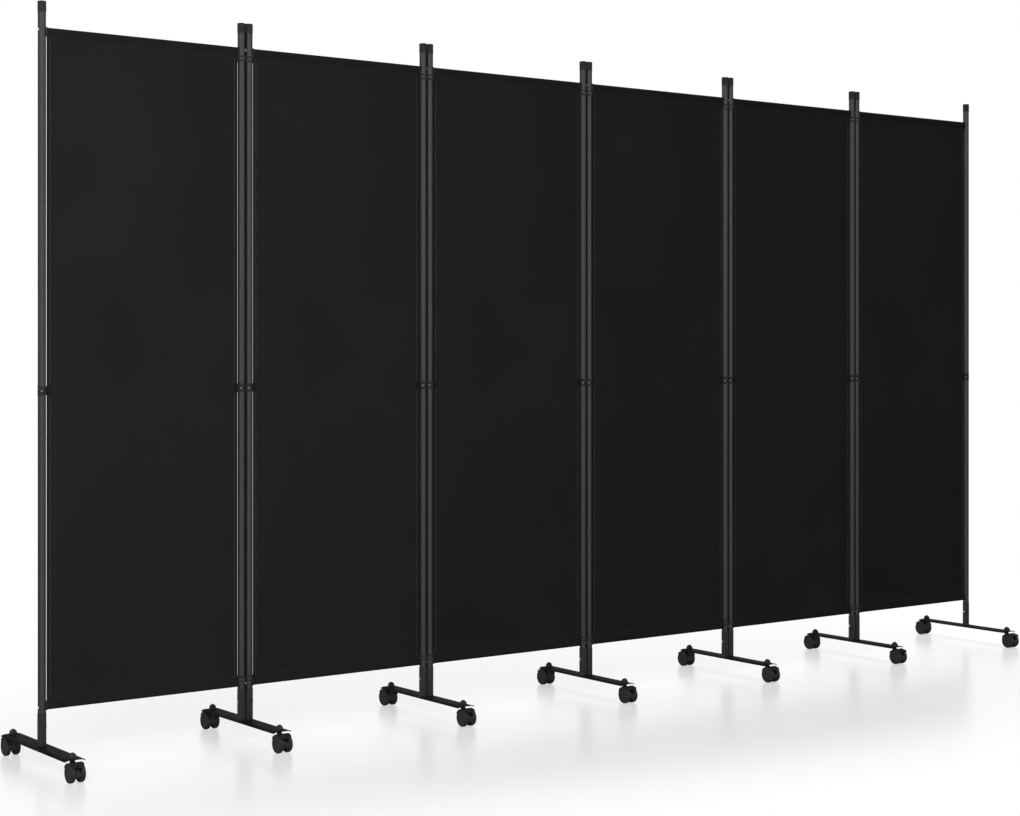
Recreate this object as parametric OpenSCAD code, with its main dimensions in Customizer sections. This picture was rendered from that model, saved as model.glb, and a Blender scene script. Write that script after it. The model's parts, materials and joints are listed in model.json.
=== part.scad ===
// Rolling room divider: fabric panels between steel posts, on feet with casters.
// Millimetres. X runs along the row, Y across it (brake levers at -Y), Z up.
// The origin lies on the floor, at the centre of the box round the whole divider.

/* [Row] */
// Panels in the row
panel_count = 6; // [2:1:6]
// Height of the post caps above the floor
total_h = 1800; // [1200:10:2000]
// Distance between the two post axes of one panel
panel_w = 530; // [400:5:600]

/* [Posts] */
// Outer diameter of a post
tube_d = 19; // [16:0.5:25]
// Wall of a post
tube_wall = 1.2; // [1:0.1:2]
// Wall of a post cap round the tube
cap_wall = 0.7; // [0.5:0.1:1.5]
// Height of a post cap
cap_h = 25; // [15:1:40]
// Crown of a post cap above the tube's end
cap_crown = 3; // [2.5:0.5:6]
// Free space between two neighbouring posts, at their widest
post_clear = 0.6; // [0.4:0.1:2]

/* [Rods] */
// Outer diameter of a cross rod
rod_d = 11; // [9:0.5:14]
// Wall of a cross rod
rod_wall = 1; // [0.8:0.1:1.5]
// Top rod axis below the top of the caps
rod_drop = 67.3; // [50:0.1:120]
// Bottom rod axis above the top of the stubs
rod_lift = 13; // [11:0.5:60]
// Length of the plug inside a rod's end
plug_l = 16; // [12:1:30]

/* [Fabric] */
// Thickness of the fabric between the rods
sheet_t = 1.2; // [0.8:0.1:2]
// Thickness of the sleeve round a rod
sleeve_t = 0.9; // [0.6:0.1:1.5]

/* [Post clips] */
// Wall of a pair clip round the tube
clip_wall = 1.8; // [1.2:0.1:3]
// Height of a pair clip
clip_h = 14.6; // [10:0.2:30]
// Height of one band of a clip
band_h = 5; // [3:0.5:8]
// Height of a side clip at mid height
side_clip_h = 22; // [15:1:40]
// Middle of the side clips below the top of the caps
side_clip_drop = 914; // [600:1:1000]
// Reach of a side clip's tongue over the fabric
tongue_l = 11; // [8:0.5:20]
// Thickness of one cheek of the tongue
cheek_t = 1.2; // [0.8:0.1:2]

/* [Feet] */
// Length of a foot bar
bar_l = 370; // [330:5:480]
// Width of a foot bar
bar_w = 50.5; // [45:0.5:80]
// Width of the flat web between the bar's lips
web_w = 32.5; // [28:0.5:44]
// Fall of each lip below the web
lip_drop = 2.6; // [1:0.2:4]
// Sheet thickness of a foot bar
sheet_bar_t = 2; // [1.5:0.1:3]
// Length of a stub
stub_l = 77; // [50:1:120]
// Wall of a stub
stub_wall = 0.9; // [0.7:0.1:2]
// Set screws above the foot bar
set_screw_z = 45.7; // [20:0.1:48]
// Distance of a caster stem from the end of its foot bar
stem_inset = 14.2; // [11:0.2:60]

/* [Casters] */
// Diameter of a wheel
wheel_d = 44; // [36:1:60]
// Width of one wheel
wheel_w = 10.4; // [8:0.2:16]
// Distance of the wheel axle behind the stem
trail = 14.5; // [10:0.5:20]
// Diameter of a caster stem
stem_d = 10; // [8:0.5:11]
// Wall of the stem's boss
boss_wall = 1.64; // [1.2:0.02:3]
// Thickness of the hood
hood_t = 1.3; // [1:0.1:2.5]
// Height of the neck between hood and foot bar
neck_h = 5; // [4:0.5:12]
// Shoulder of the neck round the stem
neck_wall = 0.7; // [0.5:0.1:1.5]
// Diameter of a wheel axle
axle_d = 5; // [4:0.5:8]
// Length of a brake lever from its pin to its tip
lever_l = 13.6; // [10:0.2:25]
// Width of a brake lever over the wheels
lever_w = 25; // [22:0.5:32]
// Width of the lever's tab
tab_w = 10; // [8:0.5:16]

/* [Hardware] */
// Height of a dome nut
nut_h = 13.2; // [12:0.2:20]
// Width of a dome nut across its flats
nut_af = 17; // [15:0.5:22]
// Diameter of a rod screw's shank
screw_d = 5; // [4:0.5:6]

/* [Hidden] */
$fn = 64;

// Running clearance of a turning fit, and the gap of a fixed one
run_fit = 0.06;
seat_fit = 0.02;
// Gap between pieces that pass or rest
rest_gap = 0.3;

foot_count = panel_count + 1;
tube_r = tube_d / 2;
bore_r = tube_r - tube_wall;
cap_r = tube_r + cap_wall;
stub_r = tube_r + run_fit + stub_wall;
post_pitch = max(2 * cap_r + post_clear, 2 * stub_r + 4 * seat_fit);
pitch = panel_w + post_pitch;

wheel_r = wheel_d / 2;
hood_in_r = wheel_r + 0.5;
hood_r = hood_in_r + hood_t;
bar_under_z = wheel_r + hood_r + neck_h;
bar_top_z = bar_under_z + sheet_bar_t;
stub_top_z = bar_top_z + stub_l;
tube_top_z = total_h - cap_crown;
foot_plug_t = 1.5;
tube_low_z = bar_top_z + rest_gap + foot_plug_t;

rod_r = rod_d / 2;
rod_low_z = stub_top_z + rod_lift;
rod_top_z = total_h - rod_drop;
sleeve_r = rod_r + 0.1 + sleeve_t;
ring_r = tube_r + run_fit + clip_wall;
fabric_x = ring_r + 0.34;
saddle_in = 14.7;
saddle_y = 6;
clip_low_z = rod_low_z + sleeve_r - rest_gap;
clip_top_z = rod_top_z - saddle_in - rest_gap;
side_clip_z = total_h - side_clip_drop;

head_r = 3.6;
head_h = 1.2;
head_seat = 0.6;
groove_r = tube_r - 0.6;
groove_h = 4.6;
set_screw_r = 2;
set_head_r = 3;

axle_y = bar_l / 2 - stem_inset;
stem_r = stem_d / 2;
boss_r = stem_r + run_fit + boss_wall;
boss_top_z = bar_under_z - neck_h;
stem_low_z = wheel_r + 3;
web_half = boss_r - 0.8;
web_r = wheel_r - 1;
wheel_in = boss_r + rest_gap;
wheel_out = wheel_in + wheel_w;
hub_in = web_half + rest_gap;
rim_t = 5;
tread_r = 2.2;
axle_r = axle_d / 2;
axle_half = wheel_out - 1.9;
hood_back_deg = 25;
hood_end_deg = 35;
brake_hood_deg = 60;

barrel_r = 3;
lever_pin_r = 1.5;
lug_half = 2;
pocket_r = 13;
pocket_deg = 12;
pivot_r = wheel_r + 2 * rest_gap + barrel_r;
pivot_deg = 50;
pivot_u = trail + pivot_r * cos(pivot_deg);
pivot_z = wheel_r + pivot_r * sin(pivot_deg);
pad_drop = 4.4;
nut_hex_h = 6.5;

// The box round the divider reaches to the lever tips in front and to the wheels behind
front_reach = axle_y + pivot_u + lever_l;
rear_reach = axle_y + trail + wheel_r;
row_y = (front_reach - rear_reach) / 2;

SIDES = ["front", "rear"];

// Places along the row
function pair_x(k) = (k - 1 - panel_count / 2) * pitch;
function is_end(k) = k == 1 || k == foot_count;
function foot_x(k) = pair_x(k) + (k == 1 ? post_pitch / 2 : k == foot_count ? -post_pitch / 2 : 0);
function stub_offsets(k) = is_end(k) ? [0] : [-post_pitch / 2, post_pitch / 2];
function panel_x(k) = pair_x(k) + post_pitch / 2;

// A cylinder along X from x0 to x1
module cyl_x(r, x0, x1) {
    translate([x0, 0, 0]) rotate([0, 90, 0]) cylinder(r = r, h = x1 - x0);
}

// A drawing in Y and Z, extruded to both sides of X = 0
module both_sides(half) {
    rotate([90, 0, 90]) linear_extrude(height = 2 * half, center = true) children();
}

// A ring round a post with a raised band at its top and at its foot
module banded_ring(outer_r, inner_r, h) {
    difference() {
        union() {
            cylinder(r = outer_r, h = band_h);
            cylinder(r = outer_r - 0.4, h = h);
            translate([0, 0, h - band_h]) cylinder(r = outer_r, h = band_h);
        }
        translate([0, 0, -1]) cylinder(r = inner_r, h = h + 2);
    }
}

// Feet

module bar_profile() {
    lip = bar_w / 2;
    web = web_w / 2;
    polygon([
        [-lip, -lip_drop], [-web, 0], [web, 0], [lip, -lip_drop],
        [lip, -lip_drop - sheet_bar_t], [web, -sheet_bar_t],
        [-web, -sheet_bar_t], [-lip, -lip_drop - sheet_bar_t]
    ]);
}

// Pressed bar, drilled for the stems
module foot_bar() {
    color("#2b2b2d")
    difference() {
        translate([0, 0, bar_top_z]) rotate([90, 0, 0])
            linear_extrude(height = bar_l, center = true) bar_profile();
        for (s = [-1, 1])
            translate([0, s * axle_y, bar_under_z - 5]) cylinder(r = stem_r + 0.15, h = sheet_bar_t + 10);
    }
}

// Everything below the bar's upper face
module under_bar() {
    lip = bar_w / 2;
    web = web_w / 2;
    low = -lip_drop - 20;
    translate([0, 0, bar_top_z + seat_fit]) rotate([90, 0, 0])
        linear_extrude(height = 4 * tube_d, center = true)
            polygon([
                [-lip, low], [-lip, -lip_drop], [-web, 0],
                [web, 0], [lip, -lip_drop], [lip, low]
            ]);
}

// Stub that holds one post, cut to the bar that it is welded to
module stub(k, x) {
    color("#2b2b2d")
    difference() {
        translate([x, 0, bar_top_z - lip_drop]) cylinder(r = stub_r, h = stub_l + lip_drop);
        translate([x, 0, bar_under_z - lip_drop]) cylinder(r = tube_r + run_fit, h = 2 * stub_l);
        translate([x, 0, bar_top_z + set_screw_z]) {
            rotate([0, panel_side(k, x) * 90, 0]) cylinder(r = set_screw_r + seat_fit, h = 2 * tube_r);
            rotate([90, 0, 0]) cylinder(r = set_screw_r + seat_fit, h = 2 * tube_r);
        }
        under_bar();
    }
}

// Side of a stub that faces its panel
function panel_side(k, x) = k == 1 || (k < foot_count && x > 0) ? 1 : -1;

// Set screw whose tip rides in the post's groove, drawn along Z from the post's axis
module set_screw() {
    translate([0, 0, groove_r + 0.1]) cylinder(r = set_screw_r, h = stub_r - groove_r);
    translate([0, 0, stub_r + seat_fit]) cylinder(r = set_head_r, h = 1.4);
}

module set_screws(k) {
    color("silver")
    for (x = stub_offsets(k))
        translate([x, 0, bar_top_z + set_screw_z]) {
            rotate([0, panel_side(k, x) * 90, 0]) set_screw();
            rotate([90, 0, 0]) set_screw();
        }
}

// Caster stem: shank, and a neck between the hood and the bar
module stem() {
    color("#1d1d1f") {
        translate([0, 0, stem_low_z]) cylinder(r = stem_r, h = bar_top_z + 8 - stem_low_z);
        translate([0, 0, boss_top_z + rest_gap])
            cylinder(r = stem_r + neck_wall, h = neck_h - rest_gap - seat_fit);
    }
}

module dome_nut() {
    dome_r = nut_af / 2;
    color("#2b2b2d")
    translate([0, 0, bar_top_z + seat_fit]) difference() {
        union() {
            cylinder(r = nut_af / 2 / cos(30), h = nut_hex_h, $fn = 6);
            intersection() {
                translate([0, 0, nut_h - dome_r]) sphere(r = dome_r);
                translate([0, 0, nut_hex_h - 0.5]) cylinder(r = dome_r, h = nut_h);
            }
        }
        translate([0, 0, -1]) cylinder(r = stem_r + seat_fit, h = 9.3);
    }
}

// Clip that keeps two posts together and lets both turn
module pair_clip() {
    color("#1d1d1f")
    difference() {
        for (x = [-1, 1])
            translate([x * post_pitch / 2, 0, 0]) banded_ring(ring_r, tube_r + run_fit, clip_h);
        for (x = [-1, 1])
            translate([x * post_pitch / 2, 0, -1]) cylinder(r = tube_r + run_fit, h = clip_h + 2);
    }
}

module foot(k) {
    foot_bar();
    for (x = stub_offsets(k)) stub(k, x);
    set_screws(k);
    for (s = [-1, 1]) translate([0, s * axle_y, 0]) {
        stem();
        dome_nut();
    }
    if (!is_end(k)) {
        translate([0, 0, clip_low_z]) pair_clip();
        translate([0, 0, clip_top_z - clip_h]) pair_clip();
    }
}

// Panels: each end is drawn about its own post axis, with +X towards the fabric

module post() {
    color("#3a3a3c")
    difference() {
        translate([0, 0, tube_low_z]) cylinder(r = tube_r, h = tube_top_z - tube_low_z - 0.1);
        translate([0, 0, tube_low_z - 1]) cylinder(r = bore_r, h = total_h);
        translate([0, 0, bar_top_z + set_screw_z - groove_h / 2]) difference() {
            cylinder(r = tube_r + 1, h = groove_h);
            cylinder(r = groove_r, h = groove_h);
        }
        for (z = [rod_low_z, rod_top_z]) translate([0, 0, z]) {
            cyl_x(screw_d / 2 + 0.1, -2 * tube_r, 2 * tube_r);
            cyl_x(head_r + 0.5, -2 * tube_r, -tube_r + head_seat);
        }
    }
}

module cap() {
    round_r = 2;
    color("#1d1d1f")
    translate([0, 0, total_h - cap_h]) difference() {
        rotate_extrude() {
            square([cap_r, cap_h - round_r]);
            square([cap_r - round_r, cap_h]);
            translate([cap_r - round_r, cap_h - round_r]) intersection() {
                circle(r = round_r);
                square(round_r);
            }
        }
        translate([0, 0, -1]) cylinder(r = tube_r + seat_fit, h = cap_h - cap_crown + 1);
    }
}

// Bearing plug that carries the post on the foot bar
module foot_plug() {
    color("#1d1d1f")
    translate([0, 0, tube_low_z]) {
        translate([0, 0, -foot_plug_t]) cylinder(r = tube_r - 0.1, h = foot_plug_t);
        cylinder(r = bore_r - seat_fit, h = 10);
    }
}

module side_clip() {
    slot_half = sheet_t / 2 + 0.05;
    tongue_half = slot_half + cheek_t;
    rivet_x = fabric_x + tongue_l - 4.5;
    color("#1d1d1f")
    translate([0, 0, side_clip_z - side_clip_h / 2]) {
        difference() {
            union() {
                banded_ring(cap_r, tube_r + seat_fit, side_clip_h);
                translate([tube_r + 0.1, -tongue_half, 0])
                    cube([fabric_x + tongue_l - tube_r - 0.1, 2 * tongue_half, side_clip_h]);
            }
            translate([0, 0, -1]) cylinder(r = tube_r + seat_fit, h = side_clip_h + 2);
            translate([fabric_x - 0.1, -slot_half, -1])
                cube([2 * tongue_l, 2 * slot_half, side_clip_h + 2]);
            translate([rivet_x, 0, side_clip_h / 2]) rotate([90, 0, 0])
                cylinder(r = 2 + seat_fit, h = 30, center = true);
        }
        translate([rivet_x, 0, side_clip_h / 2]) rotate([90, 0, 0]) {
            cylinder(r = 2, h = 2 * tongue_half + 0.4, center = true);
            for (s = [-1, 1]) translate([0, 0, s * (tongue_half + seat_fit + 0.4)])
                cylinder(r = 3.4, h = 0.8, center = true);
        }
    }
}

// Saddle between post and fabric, round the rod's end
module saddle(up, down) {
    color("#1d1d1f")
    difference() {
        translate([bore_r, -saddle_y, -down]) cube([fabric_x - 0.1 - bore_r, 2 * saddle_y, up + down]);
        translate([0, 0, -down - 1]) cylinder(r = tube_r + seat_fit, h = up + down + 2);
        cyl_x(rod_r + seat_fit, 0, 2 * fabric_x);
    }
}

// Plug in the rod's end, bored for the screw
module rod_plug() {
    color("#1d1d1f")
    difference() {
        cyl_x(rod_r - rod_wall - seat_fit, tube_r, tube_r + plug_l);
        translate([0, 0, -rod_d]) cylinder(r = tube_r + seat_fit, h = 2 * rod_d);
        cyl_x(screw_d / 2 + seat_fit, 0, tube_r + plug_l - 2);
    }
}

// Screw through the post into the rod's plug, with its round head on the outer side
module rod_screw() {
    dome_r = (head_r * head_r + head_h * head_h) / (2 * head_h);
    seat_x = -tube_r + head_seat - seat_fit;
    color("silver") {
        cyl_x(screw_d / 2, seat_x, tube_r + plug_l - 3);
        intersection() {
            translate([seat_x - head_h + dome_r, 0, 0]) sphere(r = dome_r);
            cyl_x(head_r, seat_x - head_h, seat_x);
        }
    }
}

module rod() {
    color("#3a3a3c")
    difference() {
        cyl_x(rod_r, 0, panel_w);
        cyl_x(rod_r - rod_wall, -1, panel_w + 1);
        for (x = [0, panel_w]) translate([x, 0, -rod_d]) cylinder(r = tube_r + seat_fit, h = 2 * rod_d);
    }
}

module both_ends() {
    children();
    translate([panel_w, 0, 0]) mirror([1, 0, 0]) children();
}

module panel_frame() {
    both_ends() {
        post();
        for (z = [rod_low_z, rod_top_z]) translate([0, 0, z]) rod_screw();
    }
    for (z = [rod_low_z, rod_top_z]) translate([0, 0, z]) rod();
}

module end_fittings(last) {
    cap();
    foot_plug();
    side_clip();
    translate([0, 0, rod_low_z]) saddle(last ? saddle_in : sleeve_r - 2 * rest_gap, sleeve_r - 0.2);
    translate([0, 0, rod_top_z]) saddle(sleeve_r - 0.2, saddle_in);
    for (z = [rod_low_z, rod_top_z]) translate([0, 0, z]) rod_plug();
}

module panel_fittings(k) {
    end_fittings(k == 1);
    translate([panel_w, 0, 0]) mirror([1, 0, 0]) end_fittings(k == panel_count);
}

// Stretched fabric: one sheet between two rod sleeves
module panel_fabric() {
    color("#222224")
    difference() {
        union() {
            for (z = [rod_low_z, rod_top_z])
                translate([0, 0, z]) cyl_x(sleeve_r, fabric_x, panel_w - fabric_x);
            translate([fabric_x, -sheet_t / 2, rod_low_z])
                cube([panel_w - 2 * fabric_x, sheet_t, rod_top_z - rod_low_z]);
        }
        for (z = [rod_low_z, rod_top_z])
            translate([0, 0, z]) cyl_x(rod_r + 0.1, 0, panel_w);
        for (x = [fabric_x + tongue_l - 4.5, panel_w - fabric_x - tongue_l + 4.5])
            translate([x, 0, side_clip_z]) rotate([90, 0, 0])
                cylinder(r = 2 + seat_fit, h = 30, center = true);
    }
}

// Casters: drawn about the stem, with the wheels trailing towards +Y

module sector(a0, a1, r) {
    polygon(concat([[0, 0]], [for (i = [0:4]) r * [cos(a0 + i * (a1 - a0) / 4), sin(a0 + i * (a1 - a0) / 4)]]));
}

// A braked caster has a pocket in its centre web, with a lug in it for the lever's pin
module yoke(braked) {
    end_deg = braked ? brake_hood_deg : hood_end_deg;
    color("#26262a")
    difference() {
        union() {
            translate([0, trail, wheel_r]) {
                both_sides(web_half) {
                    difference() {
                        circle(r = web_r);
                        translate([-wheel_d, -wheel_d - 9]) square([2 * wheel_d, wheel_d]);
                        if (braked) difference() {
                            sector(pocket_deg, end_deg, wheel_d);
                            circle(r = pocket_r);
                        }
                    }
                    intersection() {
                        circle(r = hood_r);
                        sector(end_deg, 180 - hood_back_deg, 2 * wheel_d);
                    }
                }
                both_sides(wheel_out) intersection() {
                    difference() {
                        circle(r = hood_r);
                        circle(r = hood_in_r);
                    }
                    sector(end_deg, 180 - hood_back_deg, 2 * wheel_d);
                }
                if (braked) both_sides(lug_half) rotate(pivot_deg) {
                    translate([pocket_r - 1, -barrel_r + 0.1])
                        square([pivot_r - pocket_r + 1, 2 * barrel_r - 0.2]);
                    translate([pivot_r, 0]) circle(r = barrel_r - 0.1);
                }
            }
            translate([0, 0, stem_low_z - 4]) cylinder(r = boss_r, h = boss_top_z - stem_low_z + 4);
        }
        translate([0, 0, stem_low_z - 0.5]) cylinder(r = stem_r + run_fit, h = boss_top_z);
        translate([0, trail, wheel_r]) cyl_x(axle_r + seat_fit, -2 * web_half, 2 * web_half);
        if (braked) translate([0, pivot_u, pivot_z]) cyl_x(lever_pin_r + seat_fit, -2 * lug_half, 2 * lug_half);
    }
}

module caster_yoke(braked) {
    yoke(braked);
    color("silver") {
        translate([0, trail, wheel_r]) cyl_x(axle_r, -axle_half, axle_half);
        if (braked) translate([0, pivot_u, pivot_z]) cyl_x(lever_pin_r, -lever_w / 2 + 1, lever_w / 2 - 1);
    }
}

// One wheel: rim, hub and closed outer disc, with a blind bore for the axle
module wheel() {
    color("#1a1a1c")
    rotate([0, 90, 0]) rotate_extrude() difference() {
        union() {
            translate([wheel_r - rim_t, wheel_in]) square([rim_t - tread_r, wheel_w]);
            translate([wheel_r - rim_t, wheel_in + tread_r]) square([rim_t, wheel_w - 2 * tread_r]);
            for (x = [wheel_in + tread_r, wheel_out - tread_r])
                translate([wheel_r - tread_r, x]) circle(r = tread_r);
            translate([0, wheel_out - 2.5]) square([wheel_r - rim_t + 0.5, 2.1]);
            translate([0, hub_in]) square([axle_r + 2.5, wheel_out - hub_in - 1]);
        }
        translate([0, 0]) square([axle_r + run_fit, axle_half + 0.3]);
    }
}

module caster_wheels() {
    translate([0, trail, wheel_r]) {
        wheel();
        mirror([1, 0, 0]) wheel();
    }
}

// Brake lever: barrel on its pin, a tab to step on, and a pad over each tread
module brake_lever() {
    shoulder = [[0, barrel_r], [barrel_r + 2, barrel_r - 1.2], [barrel_r + 2, -0.9], [0, -0.9]];
    tab = [[0, barrel_r], [lever_l, -0.4], [lever_l, -2.8], [barrel_r + 1, -0.9], [0, -0.9]];
    pad = [[0, 0], [3.6, 0], [3.6, -pad_drop], [1.2, -pad_drop]];
    color("#26262a")
    translate([0, pivot_u, pivot_z]) difference() {
        union() {
            both_sides(lever_w / 2) {
                circle(r = barrel_r);
                polygon(shoulder);
            }
            both_sides(tab_w / 2) polygon(tab);
            for (s = [-1, 1])
                translate([s * (lever_w / 2 - 2.5), 0, 0]) both_sides(2.5) polygon(pad);
        }
        cyl_x(lever_pin_r + run_fit, -lever_w, lever_w);
        both_sides(lug_half + rest_gap) circle(r = barrel_r + rest_gap);
    }
}

module at_row() {
    translate([0, row_y, 0]) children();
}

module at_caster(k, side) {
    at_row() translate([foot_x(k), side == "front" ? -axle_y : axle_y, 0])
        rotate([0, 0, side == "front" ? 180 : 0]) children();
}

for (k = [1:foot_count]) {
    at_row() translate([foot_x(k), 0, 0]) foot(k);
    for (s = SIDES) {
        at_caster(k, s) caster_yoke(s == "front");
        at_caster(k, s) caster_wheels();
    }
    at_caster(k, "front") brake_lever();
}

for (k = [1:panel_count]) {
    at_row() translate([panel_x(k), 0, 0]) panel_frame();
    at_row() translate([panel_x(k), 0, 0]) panel_fabric();
    at_row() translate([panel_x(k), 0, 0]) panel_fittings(k);
}
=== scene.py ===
# %% [markdown]
# # A folding room divider
# Six panels of black cloth hang between slim steel posts. The posts stand in
# pairs on crosswise feet, and every foot rolls on two twin-wheel casters.
# The hard pieces come from the CAD model, so their sizes are already right.
# Here they get their finishes, and the cloth is made properly: as one strip
# that runs round both rods, with hems and stitches.

# %% Start: load the fixed frame
import json
import math

import bmesh
import bpy
import numpy as np
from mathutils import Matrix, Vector

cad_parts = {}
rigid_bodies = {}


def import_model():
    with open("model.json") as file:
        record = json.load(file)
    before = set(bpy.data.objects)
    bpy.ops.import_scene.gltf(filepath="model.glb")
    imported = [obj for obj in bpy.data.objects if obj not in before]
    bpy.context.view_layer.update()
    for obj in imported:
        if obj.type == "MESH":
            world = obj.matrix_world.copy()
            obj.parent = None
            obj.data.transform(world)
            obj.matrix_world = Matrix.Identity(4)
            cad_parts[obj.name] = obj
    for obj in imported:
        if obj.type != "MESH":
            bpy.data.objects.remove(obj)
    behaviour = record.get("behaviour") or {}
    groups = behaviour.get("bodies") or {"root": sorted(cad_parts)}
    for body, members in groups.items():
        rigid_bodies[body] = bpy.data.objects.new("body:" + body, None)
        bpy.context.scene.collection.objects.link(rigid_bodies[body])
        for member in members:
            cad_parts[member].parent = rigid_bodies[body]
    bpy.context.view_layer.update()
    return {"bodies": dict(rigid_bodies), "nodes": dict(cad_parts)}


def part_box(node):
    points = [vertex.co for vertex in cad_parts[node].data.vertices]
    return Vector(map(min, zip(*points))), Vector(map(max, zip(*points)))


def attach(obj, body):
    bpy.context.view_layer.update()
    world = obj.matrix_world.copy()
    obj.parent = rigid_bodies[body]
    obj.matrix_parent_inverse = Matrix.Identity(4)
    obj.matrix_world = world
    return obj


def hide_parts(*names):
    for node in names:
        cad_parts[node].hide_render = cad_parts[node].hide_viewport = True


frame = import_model()
MM = 0.001
PANELS = [b for b in sorted(frame["bodies"]) if b.startswith("panel_")]
FEET = [b for b in sorted(frame["bodies"]) if b.startswith("foot_")]
NODES = frame["nodes"]
print("panels", len(PANELS), "feet", len(FEET), "nodes", len(NODES))

# %% [markdown]
# ## Where things are
# Places are read from the CAD nodes, so that nothing drifts when the panel's
# size changes. The posts' axes lie in one plane, and each axis stands a fixed
# way outside the cloth's edge.

# %% Places of the posts, rods and cloth
ROD_R = 5.5 * MM
AXIS_TO_CLOTH = 11.7 * MM


def post_axes(panel):
    """X of the two post axes of a panel, and Y of the plane they stand in."""
    low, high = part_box(panel + "_frame")
    cloth_low, cloth_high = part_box(panel + "_fabric")
    return cloth_low.x - AXIS_TO_CLOTH, cloth_high.x + AXIS_TO_CLOTH, (low.y + high.y) / 2


LEFT_X, RIGHT_X, POST_Y = post_axes(PANELS[0])
CLOTH_LOW, CLOTH_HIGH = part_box(PANELS[0] + "_fabric")
CLOTH_W = CLOTH_HIGH.x - CLOTH_LOW.x
SLEEVE_R = (CLOTH_HIGH.y - CLOTH_LOW.y) / 2
ROD_LOW_Z = CLOTH_LOW.z + SLEEVE_R
ROD_TOP_Z = CLOTH_HIGH.z - SLEEVE_R
print("panel width %.1f mm, cloth %.1f mm wide, rods at %.1f and %.1f mm"
      % ((RIGHT_X - LEFT_X) / MM, CLOTH_W / MM, ROD_LOW_Z / MM, ROD_TOP_Z / MM))

# %% [markdown]
# ## The camera
# The photograph is a level view: uprights stay upright, and the horizon lies
# above the middle of the picture. A camera that doesn't tilt keeps them so,
# and a small vertical shift moves the horizon to its row.

# %% Camera
PICTURE_W, PICTURE_H = 1020, 816
FOCAL_PX = 1947.48
HORIZON_ROW = 343.93
HEADING = math.radians(53.143)
EYE = Vector((-3503.7 * MM, -4313.2 * MM + POST_Y, 995.6 * MM))

camera_data = bpy.data.cameras.new("studio_camera")
camera_data.sensor_fit = "HORIZONTAL"
camera_data.sensor_width = 36.0
camera_data.lens = FOCAL_PX * camera_data.sensor_width / PICTURE_W
camera_data.shift_y = (HORIZON_ROW - PICTURE_H / 2) / PICTURE_W
camera_data.clip_start = 0.05
camera_data.clip_end = 60.0
camera = bpy.data.objects.new("studio_camera", camera_data)
bpy.context.scene.collection.objects.link(camera)
camera.location = EYE
camera.rotation_euler = (math.radians(90), 0, HEADING - math.radians(90))
bpy.context.scene.camera = camera
print("lens %.2f mm, shift %.4f" % (camera_data.lens, camera_data.shift_y))

# %% [markdown]
# ## Helpers for shader nodes
# A material is a small graph. These three helpers keep the graphs short:
# one adds a node with its settings, one links two sockets, and one starts a
# material whose Principled shader is ready to use.


# %% Node helpers
def add(tree, kind, x, y, **settings):
    """A node of that kind at (x, y), with its settings made."""
    node = tree.nodes.new(kind)
    node.location = (x, y)
    for name, value in settings.items():
        setattr(node, name, value)
    return node


def math_node(tree, operation, first, second, x, y):
    """A Math node; each input is a socket or a number."""
    node = add(tree, "ShaderNodeMath", x, y, operation=operation)
    for socket, value in zip(node.inputs, (first, second)):
        if hasattr(value, "is_output"):
            tree.links.new(value, socket)
        elif value is not None:
            socket.default_value = value
    return node.outputs[0]


def new_material(name):
    """A material with a Principled shader, and the two of them."""
    material = bpy.data.materials.new(name)
    material.use_nodes = True
    return material, material.node_tree.nodes["Principled BSDF"]


def new_group(name, inputs, outputs):
    """A shader node group with those float inputs and those outputs."""
    group = bpy.data.node_groups.new(name, "ShaderNodeTree")
    for label, value in inputs.items():
        socket = group.interface.new_socket(label, in_out="INPUT", socket_type="NodeSocketFloat")
        socket.default_value = value
    for label, kind in outputs.items():
        group.interface.new_socket(label, in_out="OUTPUT", socket_type=kind)
    ways_in = add(group, "NodeGroupInput", -900, 0)
    ways_out = add(group, "NodeGroupOutput", 700, 0)
    return group, ways_in.outputs, ways_out.inputs


def place_group(tree, group, x, y, **values):
    """One use of a group in a material, with its own values."""
    node = add(tree, "ShaderNodeGroup", x, y)
    node.node_tree = group
    for label, value in values.items():
        node.inputs[label.replace("_", " ")].default_value = value
    return node.outputs


# %% [markdown]
# ## Grain: the fine unevenness of a coat or a moulding
# Powder coat has an orange-peel skin, and moulded plastic a fine grain. Both
# are noise at different scales, so one group makes both: it puts out a height
# for the bump, and a roughness that wanders a little around its middle value.


# %% Grain group
grain, g_in, g_out = new_group(
    "surface_grain",
    {"Scale": 900.0, "Roughness": 0.4, "Spread": 0.08},
    {"Height": "NodeSocketFloat", "Roughness": "NodeSocketFloat"})
place = add(grain, "ShaderNodeTexCoord", -900, 300)
fine = add(grain, "ShaderNodeTexNoise", -600, 200)
fine.inputs["Detail"].default_value = 2.0
broad = add(grain, "ShaderNodeTexNoise", -600, -200)
broad.inputs["Scale"].default_value = 14.0
broad.inputs["Detail"].default_value = 4.0
grain.links.new(place.outputs["Object"], fine.inputs["Vector"])
grain.links.new(place.outputs["Object"], broad.inputs["Vector"])
grain.links.new(g_in["Scale"], fine.inputs["Scale"])
wander = math_node(grain, "SUBTRACT", broad.outputs[0], 0.5, -350, -200)
wander = math_node(grain, "MULTIPLY", wander, g_in["Spread"], -150, -200)
wander = math_node(grain, "MULTIPLY", wander, 2.0, 50, -200)
middle = math_node(grain, "ADD", wander, g_in["Roughness"], 250, -200)
grain.links.new(fine.outputs[0], g_out["Height"])
grain.links.new(middle, g_out["Roughness"])
print("group", grain.name)

# %% [markdown]
# ## Handling wear: a rubbed, slightly paler patch here and there
# Satin black shows where hands and shoes have polished it. A mask from a
# stretched noise decides where, and the material decides how much paler.


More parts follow.
